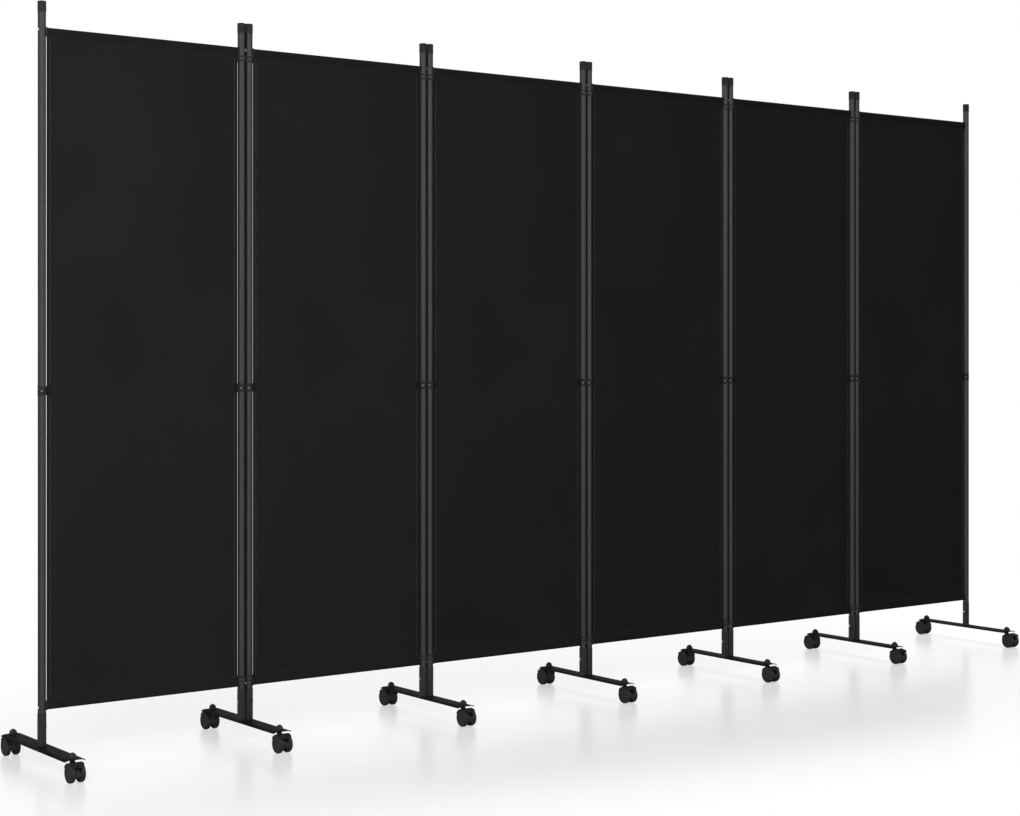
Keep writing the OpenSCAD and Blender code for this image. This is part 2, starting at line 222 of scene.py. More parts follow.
# %% Wear group
wear, w_in, w_out = new_group(
    "handling_wear",
    {"Scale": 6.0, "Amount": 0.5},
    {"Mask": "NodeSocketFloat"})
place = add(wear, "ShaderNodeTexCoord", -900, 300)
patches = add(wear, "ShaderNodeTexNoise", -600, 200)
patches.inputs["Detail"].default_value = 6.0
patches.inputs["Roughness"].default_value = 0.65
wear.links.new(place.outputs["Object"], patches.inputs["Vector"])
wear.links.new(w_in["Scale"], patches.inputs["Scale"])
above = math_node(wear, "SUBTRACT", patches.outputs[0], 0.52, -350, 200)
above = math_node(wear, "MULTIPLY", above, 5.0, -150, 200)
above = math_node(wear, "MAXIMUM", above, 0.0, 50, 200)
above = math_node(wear, "MINIMUM", above, 1.0, 200, 200)
above = math_node(wear, "MULTIPLY", above, w_in["Amount"], 350, 200)
wear.links.new(above, w_out["Mask"])
print("group", wear.name)

# %% [markdown]
# ## Finishes of the hard pieces
# All are black or nearly so, and what tells them apart is their shine: coated
# steel is satin, moulded plastic a little duller, and most screws are bright
# zinc. In the photograph a post is bright along its middle and dark at both
# rims, so a coat may lose its gloss where it turns away from the viewer. Layer
# Weight's Facing measures that turn.


# %% Coats and mouldings
def coat(name, colour, worn_colour, roughness, spread, fineness, bump, rubbed, specular, rim=0.0, curve=2.0):
    """A satin finish, with grain for bump and roughness and wear for the colour."""
    material, shader = new_material(name)
    tree = material.node_tree
    skin = place_group(tree, grain, -700, 0, Scale=fineness, Roughness=roughness, Spread=spread)
    patches = place_group(tree, wear, -700, 300, Scale=5.0, Amount=rubbed)
    mix = add(tree, "ShaderNodeMix", -400, 300, data_type="RGBA")
    mix.inputs["A"].default_value = (*colour, 1)
    mix.inputs["B"].default_value = (*worn_colour, 1)
    tree.links.new(patches["Mask"], mix.inputs["Factor"])
    tree.links.new(mix.outputs["Result"], shader.inputs["Base Color"])
    tree.links.new(skin["Roughness"], shader.inputs["Roughness"])
    relief = add(tree, "ShaderNodeBump", -300, -200)
    relief.inputs["Strength"].default_value = bump
    relief.inputs["Distance"].default_value = 0.0002
    tree.links.new(skin["Height"], relief.inputs["Height"])
    tree.links.new(relief.outputs[0], shader.inputs["Normal"])
    shader.inputs["Specular IOR Level"].default_value = specular
    if rim > 0:
        turned = add(tree, "ShaderNodeLayerWeight", -900, -500)
        dulled = math_node(tree, "POWER", turned.outputs["Facing"], curve, -700, -500)
        dulled = math_node(tree, "MULTIPLY", dulled, rim * specular, -550, -500)
        gloss = math_node(tree, "SUBTRACT", specular, dulled, -400, -500)
        gloss = math_node(tree, "MAXIMUM", gloss, 0.0, -250, -500)
        tree.links.new(gloss, shader.inputs["Specular IOR Level"])
    return material


POST_COAT = coat("satin_black_coat", (0.011, 0.011, 0.0115), (0.017, 0.017, 0.0175),
                 roughness=0.3, spread=0.05, fineness=900.0, bump=0.2, rubbed=0.5,
                 specular=0.84, rim=2.4, curve=1.2)
FOOT_COAT = coat("foot_black_coat", (0.0095, 0.0095, 0.0099), (0.016, 0.016, 0.0168),
                 roughness=0.45, spread=0.06, fineness=900.0, bump=0.3, rubbed=0.7,
                 specular=0.003)
STUB_COAT = coat("stub_black_coat", (0.014, 0.014, 0.0145), (0.022, 0.022, 0.023),
                 roughness=0.35, spread=0.06, fineness=900.0, bump=0.3, rubbed=0.7,
                 specular=0.35, rim=1.0)
FITTING = coat("moulded_black", (0.02, 0.02, 0.021), (0.028, 0.028, 0.029),
               roughness=0.5, spread=0.05, fineness=1400.0, bump=0.35, rubbed=0.4,
               specular=0.1, rim=1.0)
CASTER = coat("caster_nylon", (0.016, 0.016, 0.0165), (0.026, 0.026, 0.027),
              roughness=0.4, spread=0.06, fineness=1400.0, bump=0.3, rubbed=0.6,
              specular=0.3, rim=1.6, curve=1.5)
WHEEL = coat("wheel_nylon", (0.015, 0.015, 0.0155), (0.026, 0.0255, 0.025),
             roughness=0.35, spread=0.08, fineness=1400.0, bump=0.25, rubbed=0.8,
             specular=0.3, rim=1.6, curve=1.5)
BAND = coat("plated_band", (0.008, 0.008, 0.0082), (0.012, 0.012, 0.012),
            roughness=0.14, spread=0.05, fineness=2400.0, bump=0.03, rubbed=0.3,
            specular=1.0, rim=11.0, curve=1.0)
BAND.node_tree.nodes["Principled BSDF"].inputs["IOR"].default_value = 2.6
BLACK_SCREW = coat("blackened_screw", (0.014, 0.014, 0.014), (0.03, 0.03, 0.03),
                   roughness=0.4, spread=0.08, fineness=2000.0, bump=0.2, rubbed=0.6,
                   specular=0.3)
TAB = coat("woven_tab", (0.0095, 0.0095, 0.01), (0.014, 0.014, 0.0145),
           roughness=0.7, spread=0.05, fineness=1800.0, bump=0.5, rubbed=0.4,
           specular=0.02)
ZINC, zinc_shader = new_material("zinc_plate")
zinc_skin = place_group(ZINC.node_tree, grain, -500, 0, Scale=2400.0, Roughness=0.28, Spread=0.1)
ZINC.node_tree.links.new(zinc_skin["Roughness"], zinc_shader.inputs["Roughness"])
zinc_shader.inputs["Base Color"].default_value = (0.86, 0.87, 0.88, 1)
zinc_shader.inputs["Metallic"].default_value = 1.0
print("finishes", [m.name for m in (POST_COAT, FOOT_COAT, FITTING, CASTER, WHEEL, ZINC)])

# %% [markdown]
# ## Which finish each CAD piece gets
# A node can hold pieces of two finishes, such as a post and its screws. Its
# faces are then sorted by where they lie: a solid of a node is an island of
# faces, and an island's box says which piece it is.


# %% Islands of a mesh
def islands(mesh):
    """The island number of each polygon, and each island's size along X, Y and Z."""
    places = np.zeros(len(mesh.vertices) * 3, np.float32)
    mesh.vertices.foreach_get("co", places)
    places = places.reshape(-1, 3)
    _, same = np.unique(np.round(places, 6), axis=0, return_inverse=True)
    same = same.ravel()
    edges = np.zeros(len(mesh.edges) * 2, np.int32)
    mesh.edges.foreach_get("vertices", edges)
    a, b = same[edges[0::2]], same[edges[1::2]]
    label = np.arange(same.max() + 1)
    while True:
        lowest = label.copy()
        np.minimum.at(lowest, a, label[b])
        np.minimum.at(lowest, b, label[a])
        lowest = lowest[lowest]
        if (lowest == label).all():
            break
        label = lowest
    owner = label[same]
    first = np.zeros(len(mesh.polygons), np.int32)
    mesh.polygons.foreach_get("loop_start", first)
    corner = np.zeros(len(mesh.loops), np.int32)
    mesh.loops.foreach_get("vertex_index", corner)
    sizes = {i: np.ptp(places[owner == i], axis=0) for i in np.unique(owner)}
    return owner[corner[first]], sizes


def finish_node(name, main, others=()):
    """The main finish on a node, and other finishes on the islands that their tests pick by size."""
    piece = NODES[name]
    piece.data.materials.clear()
    piece.data.materials.append(main)
    if others:
        label, sizes = islands(piece.data)
        slots = np.zeros(len(piece.data.polygons), np.int32)
        for slot, (is_it, finish) in enumerate(others, 1):
            piece.data.materials.append(finish)
            slots[np.isin(label, [i for i, size in sizes.items() if is_it(size)])] = slot
        piece.data.polygons.foreach_set("material_index", slots)
    return piece


# %% Finishes on the CAD nodes
TONGUE_STARTS = 12 * MM
WAIST_HALF = 1 * MM


def is_rod_screw(size):
    """A rod screw lies along X and is slim, unlike a post or a rod."""
    return size[0] < 45 * MM and size[2] < 9 * MM


def is_side_screw(size):
    """A stub's side screw is as small as its front screw, and lies along X."""
    return max(size) < 7 * MM and abs(size[1] - size[2]) < 0.1 * MM


def is_front_screw(size):
    """A stub's front screw lies along Y."""
    return max(size) < 7 * MM and abs(size[0] - size[2]) < 0.1 * MM


def is_dome_nut(size):
    """A dome nut is nearly as wide as it is tall."""
    return 10 * MM < min(size) and max(size) < 22 * MM


def is_stub(size):
    """A stub is a short upright tube."""
    return 70 * MM < size[2] < 90 * MM and size[0] < 25 * MM


def is_pair_clip(size):
    """A pair clip is wide enough for two posts and only a little over a centimetre tall."""
    return 35 * MM < size[0] < 50 * MM and 10 * MM < size[2] < 20 * MM


def finish_waists(foot):
    """The posts' finish on the waist between the two bands of each pair clip, which catches the light."""
    mesh = NODES[foot].data
    label, sizes = islands(mesh)
    height = np.zeros(len(mesh.polygons) * 3, np.float32)
    mesh.polygons.foreach_get("center", height)
    height = height[2::3]
    slots = np.zeros(len(mesh.polygons), np.int32)
    mesh.polygons.foreach_get("material_index", slots)
    mesh.materials.append(POST_COAT)
    for i in [i for i, size in sizes.items() if is_pair_clip(size)]:
        middle = (height[label == i].min() + height[label == i].max()) / 2
        slots[(label == i) & (abs(height - middle) < WAIST_HALF)] = len(mesh.materials) - 1
    mesh.polygons.foreach_set("material_index", slots)


def finish_tongues(panel):
    """The dull finish on the faces of the side clips that lie over the cloth's edges."""
    piece = NODES[panel + "_fittings"]
    left_axis, right_axis, _ = post_axes(panel)
    centre = np.zeros(len(piece.data.polygons) * 3, np.float32)
    piece.data.polygons.foreach_get("center", centre)
    inside = np.minimum(centre[0::3] - left_axis, right_axis - centre[0::3])
    piece.data.materials.append(TAB)
    piece.data.polygons.foreach_set("material_index", (inside > TONGUE_STARTS).astype(np.int32))


for body in FEET:
    finish_node(body, FOOT_COAT, ((is_side_screw, ZINC), (is_front_screw, BLACK_SCREW), (is_dome_nut, CASTER),
                                  (is_stub, STUB_COAT), (is_pair_clip, FITTING)))
    finish_waists(body)
for body in PANELS:
    finish_node(body + "_frame", POST_COAT, ((is_rod_screw, ZINC),))
    finish_node(body + "_fittings", FITTING)
    finish_tongues(body)
for name in NODES:
    if name.endswith("_yoke") or name.startswith("brake_lever"):
        finish_node(name, CASTER)
    if name.endswith("_wheels"):
        finish_node(name, WHEEL)
print("finished", len(NODES) - len(PANELS), "CAD nodes")

# %% [markdown]
# ## The weave
# The cloth is a dense plain weave: a warp thread goes over one weft thread
# and under the next. Two sine waves at right angles, one for each set of
# threads, make its height; the group can be laid on any cloth piece that
# hangs in the panel's plane.


# %% Weave group
weave, v_in, v_out = new_group(
    "plain_weave",
    {"Threads per metre": 1250.0, "Slub": 0.35},
    {"Height": "NodeSocketFloat", "Thread": "NodeSocketFloat", "Mottle": "NodeSocketFloat"})
place = add(weave, "ShaderNodeTexCoord", -900, 300)
split = add(weave, "ShaderNodeSeparateXYZ", -750, 300)
weave.links.new(place.outputs["Object"], split.inputs[0])
pitch = math_node(weave, "MULTIPLY", v_in["Threads per metre"], math.pi, -700, 0)
across = math_node(weave, "MULTIPLY", split.outputs["X"], pitch, -550, 300)
along = math_node(weave, "MULTIPLY", split.outputs["Z"], pitch, -550, 100)
wave_x = math_node(weave, "SINE", across, None, -400, 300)
wave_z = math_node(weave, "SINE", along, None, -400, 100)
crossing = math_node(weave, "MULTIPLY", wave_x, wave_z, -250, 200)
ridge = math_node(weave, "ABSOLUTE", crossing, None, -100, 200)
slub = add(weave, "ShaderNodeTexNoise", -400, -200)
slub.inputs["Scale"].default_value = 60.0
slub.inputs["Detail"].default_value = 5.0
stretch = add(weave, "ShaderNodeMapping", -600, -200)
stretch.inputs["Scale"].default_value = (6.0, 1.0, 0.4)
weave.links.new(place.outputs["Object"], stretch.inputs["Vector"])
weave.links.new(stretch.outputs[0], slub.inputs["Vector"])
uneven = math_node(weave, "MULTIPLY", slub.outputs[0], v_in["Slub"], -100, -200)
height = math_node(weave, "ADD", ridge, uneven, 100, 100)
cloud = add(weave, "ShaderNodeTexNoise", -400, -500)
cloud.inputs["Scale"].default_value = 3.0
cloud.inputs["Detail"].default_value = 3.0
weave.links.new(place.outputs["Object"], cloud.inputs["Vector"])
weave.links.new(height, v_out["Height"])
weave.links.new(ridge, v_out["Thread"])
weave.links.new(cloud.outputs[0], v_out["Mottle"])
print("group", weave.name)

# %% [markdown]
# ## Cloth and thread
# Black polyester swallows light: a very dark base, high roughness and almost no
# shine. Where it lies double its colour is painted a little darker, as painted
# shade for the light that one layer lets through and two layers don't, and an
# attribute of the mesh says where that is. The thread of the side hems is paler
# than that of the sleeves: the photograph shows it as a fine line beside every post.

# %% Cloth and thread finishes
CLOTH, cloth_shader = new_material("black_screen_cloth")
tree = CLOTH.node_tree
woven = place_group(tree, weave, -700, 0)
shade = add(tree, "ShaderNodeMix", -350, 250, data_type="RGBA")
shade.inputs["A"].default_value = (0.0095, 0.0095, 0.0098, 1)
shade.inputs["B"].default_value = (0.0165, 0.0165, 0.017, 1)
tone = math_node(tree, "MULTIPLY", woven["Thread"], 0.5, -550, 250)
tone = math_node(tree, "ADD", tone, woven["Mottle"], -450, 250)
tone = math_node(tree, "MULTIPLY", tone, 0.66, -420, 150)
tree.links.new(tone, shade.inputs["Factor"])
# Painted shade: the base colour is darkened by 8 per cent where the cloth lies double.
layers = add(tree, "ShaderNodeAttribute", -550, 500, attribute_name="doubled")
painted_shade_scale = math_node(tree, "MULTIPLY", layers.outputs["Fac"], -0.08, -350, 500)
painted_shade_scale = math_node(tree, "ADD", painted_shade_scale, 1.0, -200, 500)
painted_shade_colour = add(tree, "ShaderNodeVectorMath", -50, 350, operation="SCALE")
tree.links.new(shade.outputs["Result"], painted_shade_colour.inputs[0])
tree.links.new(painted_shade_scale, painted_shade_colour.inputs["Scale"])
tree.links.new(painted_shade_colour.outputs[0], cloth_shader.inputs["Base Color"])
relief = add(tree, "ShaderNodeBump", -300, -150)
relief.inputs["Strength"].default_value = 0.3
relief.inputs["Distance"].default_value = 0.00015
tree.links.new(woven["Height"], relief.inputs["Height"])
tree.links.new(relief.outputs[0], cloth_shader.inputs["Normal"])
cloth_shader.inputs["Roughness"].default_value = 0.8
cloth_shader.inputs["Specular IOR Level"].default_value = 0.01



def thread(name, dark, pale):
    """Sewing thread, whose twist goes from a dark to a pale grey."""
    material, shader = new_material(name)
    tree = material.node_tree
    twist = add(tree, "ShaderNodeTexNoise", -500, 100)
    twist.inputs["Scale"].default_value = 900.0
    shade = add(tree, "ShaderNodeMix", -250, 100, data_type="RGBA")
    shade.inputs["A"].default_value = (dark, dark, dark, 1)
    shade.inputs["B"].default_value = (pale, pale, pale, 1)
    tree.links.new(twist.outputs[0], shade.inputs["Factor"])
    tree.links.new(shade.outputs["Result"], shader.inputs["Base Color"])
    shader.inputs["Roughness"].default_value = 0.6
    return material


SEAM_THREAD = thread("seam_thread", 0.025, 0.05)
# The hem thread's paler grey is a painted highlight, standing in for the shine of the thread.
HEM_THREAD = thread("hem_thread", 0.1, 0.18)
print("cloth finishes", CLOTH.name, SEAM_THREAD.name, HEM_THREAD.name)

# %% [markdown]
# ## The cloth of one panel
# On the real divider the cloth is one strip. It starts at a seam on the back,
# goes round the bottom rod, up the front, round the top rod and back to a
# second seam. So its section is drawn once as a line in Y and Z, given a
# thickness, and swept across the panel. A sweep keeps the cloth even, which a
# simulation of such a taut sheet would only blur.

# %% Section of the cloth
CLOTH_T = 0.5 * MM
PLY_GAP = 0.02 * MM
SEAM_DROP = 19 * MM
SEAM_PUFF = 0.4 * MM
WRAP_R = ROD_R + 0.05 * MM + CLOTH_T / 2
LAYER_GAP = CLOTH_T + PLY_GAP
FRONT_Y = -0.38 * MM
BACK_Y = FRONT_Y + LAYER_GAP
HEM_END = 7 * MM
LEAN = math.asin(WRAP_R / SEAM_DROP)


def wrap(rod_z, side):
    """Round a rod, from the front layer over its far side to the back layer (side: 1 top, -1 bottom)."""
    turns = 20
    angles = [-LEAN + (math.pi + 2 * LEAN) * i / turns for i in range(turns + 1)]
    return [(-WRAP_R * math.cos(a), rod_z + side * WRAP_R * math.sin(a)) for a in angles]


def section():
    """The strip's middle line, as (y, z): back seam, bottom rod, front, top rod, back seam."""
    seam_low, seam_top = ROD_LOW_Z + SEAM_DROP, ROD_TOP_Z - SEAM_DROP
    line = [(BACK_Y, seam_low + HEM_END), (BACK_Y, seam_low + 2 * MM), (BACK_Y, seam_low - 1 * MM)]
    line += wrap(ROD_LOW_Z, -1)[::-1]
    line += [(FRONT_Y - SEAM_PUFF, seam_low - 1.6 * MM), (FRONT_Y, seam_low + 0.6 * MM)]
    steps = 60
    line += [(FRONT_Y, seam_low + (seam_top - seam_low) * i / steps) for i in range(1, steps)]
    line += [(FRONT_Y, seam_top - 0.6 * MM), (FRONT_Y - SEAM_PUFF, seam_top + 1.6 * MM)]
    line += wrap(ROD_TOP_Z, 1)
    line += [(BACK_Y, seam_top + 1 * MM), (BACK_Y, seam_top - 2 * MM), (BACK_Y, seam_top - HEM_END)]
    return line


LINE = section()
STITCH_IN = 8.4 * MM
HEM_TAIL = 1.8 * MM


# %% Sweeping a section across the panel
def normals(line):
    """Unit normals of the line's points, to its left."""
    found = []
    for i in range(len(line)):
        a, b = line[max(0, i - 1)], line[min(len(line) - 1, i + 1)]
        dy, dz = b[0] - a[0], b[1] - a[1]
        size = math.hypot(dy, dz)
        found.append((-dz / size, dy / size))
    return found


def sweep_faces(rings, rim):
    """Faces between neighbouring rings of a sweep, each ring of that many vertices."""
    return [(r * rim + i, r * rim + (i + 1) % rim, (r + 1) * rim + (i + 1) % rim, (r + 1) * rim + i)
            for r in range(rings - 1) for i in range(rim)]


def end_faces(start, count):
    """Faces that close one end of a thin strip, whose ring there starts at that vertex."""
    rim = 2 * count
    return [(start + i, start + i + 1, start + rim - 2 - i, start + rim - 1 - i) for i in range(count - 1)]


def closed_strip(line, stations, thickness, shift):
    """Vertices and faces of a line given a thickness and swept along X, both ends closed."""
    out = normals(line)
    count = len(line)
    vertices = []
    for x in stations:
        for side in (1, -1):
            order = range(count) if side == 1 else reversed(range(count))
            for i in order:
                (y, z), (ny, nz) = line[i], out[i]
                half = side * thickness / 2
                vertices.append((x, y + shift(x, y, z) + ny * half, z + nz * half))
    faces = sweep_faces(len(stations), 2 * count)
    faces += end_faces(0, count) + end_faces((len(stations) - 1) * 2 * count, count)
    return vertices, faces


def joined(first, second):
    """The vertices and faces of two shapes as those of one."""
    shift = len(first[0])
    return first[0] + second[0], first[1] + [tuple(i + shift for i in f) for f in second[1]]


def mesh_of(name, vertices, faces, material, smooth=True):
    """A mesh with all its faces turned outward."""
    mesh = bpy.data.meshes.new(name)
    mesh.from_pydata(vertices, [], faces)
    work = bmesh.new()
    work.from_mesh(mesh)
    bmesh.ops.recalc_face_normals(work, faces=work.faces)
    work.to_mesh(mesh)
    work.free()
    mesh.materials.append(material)
    if smooth:
        mesh.shade_smooth()
    return mesh


# %% [markdown]
# ## How a taut cloth gives
# It is pulled flat, yet never perfectly: it sways in and out by a fraction of
# a millimetre. The ripple dies out at all four edges, where the cloth is held,
# and beside each side hem the stitching pulls it into a shallow groove.

# %% The cloth pieces
GROOVE_DEPTH = 0.15
GROOVE_WIDTH = 0.9 * MM


def give(x, y, z):
    """How far the flat part of the cloth stands from its plane, in metres."""
    if abs(y - FRONT_Y) > 0.1 * MM:
        return 0.0
    u = (x - CLOTH_LOW.x) / CLOTH_W
    v = (z - ROD_LOW_Z) / (ROD_TOP_Z - ROD_LOW_Z)
    held = max(0.0, min(1.0, 16 * u * (1 - u) * v * (1 - v)))
    sway = 0.2 * math.sin(7.3 * u + 2.1 * v) + 0.12 * math.sin(19 * u - 3.1 * v + 1.0)
    from_stitch = abs(min(x - CLOTH_LOW.x, CLOTH_HIGH.x - x) - STITCH_IN)
    groove = GROOVE_DEPTH * math.exp(-((from_stitch / GROOVE_WIDTH) ** 2))
    return MM * (held * sway + groove)


def mark_doubled(mesh):
    """A value on each corner of the mesh: 1 where the cloth lies double, 0 where it is single; the cloth's
    colour is painted darker, as shade, where it is 1.
    """
    doubled = mesh.attributes.new("doubled", "FLOAT", "POINT")
    for i, v in enumerate(mesh.vertices):
        from_side = min(v.co.x - CLOTH_LOW.x, CLOTH_HIGH.x - v.co.x)
        from_seam = min(v.co.z - ROD_LOW_Z - SEAM_DROP, ROD_TOP_Z - SEAM_DROP - v.co.z)
        doubled.data[i].value = float(from_side < STITCH_IN or from_seam < 0)


EDGE_STEPS = [0, 1, 3, 5, 6.8, 7.6, 8.3, 8.5, 9.2, 10.2, 12.5, 17]
STATIONS = [CLOTH_LOW.x + d * MM for d in EDGE_STEPS]
STATIONS += [CLOTH_LOW.x + 17 * MM + (CLOTH_W - 34 * MM) * i / 24 for i in range(1, 24)]
STATIONS += [CLOTH_HIGH.x - d * MM for d in reversed(EDGE_STEPS)]
CLOTH_MESH = mesh_of("cloth", *closed_strip(LINE, STATIONS, CLOTH_T, give), CLOTH)
mark_doubled(CLOTH_MESH)
print("cloth mesh", len(CLOTH_MESH.vertices), "vertices")

# %% [markdown]
# ## Side hems
# Each side edge is turned to the back and sewn down. The turned band is a
# strip of its own whose outer edge rolls round to meet the front, so that the
# edge looks folded, and it is as wide as the stitch line is far from the edge.


# %% Side hem bands
def hem_band(edge_x, inward):
    """A turned band along one side edge; inward is +1 or -1 along X."""
    fold_r = LAYER_GAP / 2
    profile = [(2.2 * MM, PLY_GAP)]
    for i in range(9):
        angle = -math.pi / 2 + math.pi * i / 8
        profile.append((fold_r * (1 - math.cos(angle)), fold_r + fold_r * math.sin(angle)))
    profile += [(d * MM, LAYER_GAP) for d in (2, 4, 6, 7.4)]
    profile.append((STITCH_IN, LAYER_GAP - 0.08 * MM))
    profile += [(STITCH_IN + part * HEM_TAIL, LAYER_GAP) for part in (0.5, 1)]
    out = normals([(y, x) for x, y in profile])
    low_z = ROD_LOW_Z + SEAM_DROP + HEM_END + 1 * MM
    top_z = ROD_TOP_Z - SEAM_DROP - HEM_END - 1 * MM
    thickness = CLOTH_T - 0.06 * MM
    rows, count, vertices = 50, len(profile), []
    for r in range(rows + 1):
        z = low_z + (top_z - low_z) * r / rows
        for side in (1, -1):
            order = range(count) if side == 1 else reversed(range(count))
            for i in order:
                (dx, y), (ny, nx) = profile[i], out[i]
                x = edge_x + inward * (dx + side * nx * thickness / 2)
                shift = FRONT_Y + give(edge_x + inward * dx, FRONT_Y, z)
                vertices.append((x, y + shift + side * ny * thickness / 2, z))
    faces = sweep_faces(rows + 1, 2 * count)
    faces += end_faces(0, count) + end_faces(rows * 2 * count, count)
    return vertices, faces


HEM_MESH = mesh_of("side_hems", *joined(hem_band(CLOTH_LOW.x, 1), hem_band(CLOTH_HIGH.x, -1)), CLOTH)
mark_doubled(HEM_MESH)
print("hem mesh", len(HEM_MESH.vertices), "vertices")

# %% [markdown]
# ## Stitches
# A seam is read by its thread. Every stitch is a small closed grain that lies
# on the cloth and dips at both ends, set at an even pitch along the hems and
# along the two seams that close the sleeves.


# %% Stitches
STITCH_L = 3.0 * MM
STITCH_PITCH = 4.0 * MM
THREAD_R = 0.28 * MM


def stitch(centre, along, outward):
    """Vertices and faces of one stitch: a six-sided grain with pointed, sunk ends."""
    along, outward = Vector(along).normalized(), Vector(outward).normalized()
    across = along.cross(outward)
    vertices, faces = [], []
    stops = ((-1.0, 0.0, -0.8), (-0.6, 0.85, 0.0), (0.0, 1.0, 0.25), (0.6, 0.85, 0.0), (1.0, 0.0, -0.8))
    for t, girth, rise in stops:
        middle = Vector(centre) + along * (t * STITCH_L / 2) + outward * (rise * THREAD_R)
        if girth == 0:
            vertices.append(middle)
            continue
        for k in range(6):
            turn = math.pi * k / 3
            spoke = across * math.cos(turn) + outward * math.sin(turn)
            vertices.append(middle + spoke * (girth * THREAD_R))
    faces += [(0, 1 + (k + 1) % 6, 1 + k) for k in range(6)]
    for ring in (1, 7):
        for k in range(6):
            faces.append((ring + k, ring + (k + 1) % 6, ring + 6 + (k + 1) % 6, ring + 6 + k))
    faces += [(19, 13 + k, 13 + (k + 1) % 6) for k in range(6)]
    return vertices, faces


def seam_places():
    """Centre, direction and outward side of every stitch of one panel."""
    found = []
    z_low, z_top = ROD_LOW_Z + SEAM_DROP, ROD_TOP_Z - SEAM_DROP
    rows = int((z_top - z_low - 12 * MM) / STITCH_PITCH)
    for r in range(rows + 1):
        z = z_low + 6 * MM + (z_top - z_low - 12 * MM) * r / rows
        for x in (CLOTH_LOW.x + STITCH_IN, CLOTH_HIGH.x - STITCH_IN):
            y = FRONT_Y + give(x, FRONT_Y, z)
            found.append(((x, y - CLOTH_T / 2, z), (0, 0, 1), (0, -1, 0)))
            found.append(((x, y + LAYER_GAP + CLOTH_T / 2 - 0.1 * MM, z), (0, 0, 1), (0, 1, 0)))
    columns = int((CLOTH_W - 8 * MM) / STITCH_PITCH)
    for c in range(columns + 1):
        x = CLOTH_LOW.x + 4 * MM + (CLOTH_W - 8 * MM) * c / columns
        for z in (z_low, z_top):
            found.append(((x, FRONT_Y - CLOTH_T / 2 - 0.1 * MM, z), (1, 0, 0), (0, -1, 0)))
            found.append(((x, BACK_Y + CLOTH_T / 2, z), (1, 0, 0), (0, 1, 0)))
    return found


stitch_vertices, stitch_faces, stitch_slots = [], [], []
for centre, along, outward in seam_places():
    corners, sides = stitch(centre, along, outward)
    base = len(stitch_vertices)
    stitch_vertices += corners
    stitch_faces += [tuple(base + i for i in f) for f in sides]
    upright = along[2]
    stitch_slots += [upright] * len(sides)
STITCH_MESH = mesh_of("stitches", stitch_vertices, stitch_faces, SEAM_THREAD)
STITCH_MESH.materials.append(HEM_THREAD)
STITCH_MESH.polygons.foreach_set("material_index", stitch_slots)
print(len(seam_places()), "stitches a panel,", len(stitch_faces), "faces")

# %% [markdown]
# ## Hanging the cloth on its panels
# All six panels are alike, so they share their meshes. Each piece stands at
# its own panel and rides on it when the divider folds.


# %% The cloth, hems and stitches of each panel
def hang(panel, ending, mesh):
    """A piece of the first panel's shape, set at this panel and riding on it."""
    piece = bpy.data.objects.new(panel + ending, mesh)
    bpy.context.scene.collection.objects.link(piece)
    low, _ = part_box(panel + "_fabric")
    piece.location = (low.x - CLOTH_LOW.x, POST_Y, 0)
    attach(piece, panel)
    return piece


for panel in PANELS:
    trim = [hang(panel, "_side_hems", HEM_MESH), hang(panel, "_stitches", STITCH_MESH)]
    piece = hang(panel, "_cloth", CLOTH_MESH)
    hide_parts(panel + "_fabric")

# %% [markdown]
# ## Clamp rings
# Each side clip has a waist, and a bright glint shows in it on every post in
# the photograph. It is made as a slim plated band that grips the waist. Its
# outer face is crowned, so that it catches the light, and it stands less than a
# fifth of a millimetre proud of the clip, so that the bands of two paired posts
# turn past each other.

# %% Clamp rings of the side clips
CLIP_MIDDLE_Z = 885 * MM
WAIST_R = 9.8 * MM
BAND_EDGE_R = 10.2 * MM
BAND_CROWN_R = 10.38 * MM
BAND_H = 2.5 * MM


def band_profile():
    """The band's section, as (radius, height): flat inside, crowned outside."""
    inner = WAIST_R + 0.02 * MM
    half = BAND_H / 2
    corner = 0.05 * MM
    outline = [(inner, half), (inner, half - corner), (inner, corner - half), (inner, -half)]
    outline.append((BAND_EDGE_R - corner, -half))
    steps = 8
    for i in range(steps + 1):
        t = 2 * i / steps - 1
        outline.append((BAND_CROWN_R - (BAND_CROWN_R - BAND_EDGE_R) * t * t, t * (half - 0.02 * MM)))
    outline.append((BAND_EDGE_R - corner, half))
    return outline


def clamp_ring(x, z):
    """A band round the post whose axis stands at x."""
    rounds, outline = 64, band_profile()
    sides = len(outline)
    vertices, faces = [], []
    for i in range(rounds):
        turn = 2 * math.pi * i / rounds
        for k, (radius, height) in enumerate(outline):
            vertices.append((x + radius * math.cos(turn), radius * math.sin(turn), z + height))
            faces.append((i * sides + k, i * sides + (k + 1) % sides,
                          (i + 1) % rounds * sides + (k + 1) % sides, (i + 1) % rounds * sides + k))
    return vertices, faces


both_rings = joined(clamp_ring(LEFT_X, CLIP_MIDDLE_Z), clamp_ring(RIGHT_X, CLIP_MIDDLE_Z))
RING_MESH = mesh_of("clamp_rings", *both_rings, BAND)
for panel in PANELS:
    hang(panel, "_clamp_rings", RING_MESH)
print("clamp rings", 2 * len(PANELS))

# %% [markdown]
# ## The studio
# A white floor and white surroundings, as in a product picture. The world
# looks white to the camera and in reflections, but lights the divider at a
# plain level, and five large soft lamps shape it. The lamps don't show in
# reflections, so the posts mirror the even white round them and keep the same
# shine along the row, while the matt cloth darkens away from the key lamp.

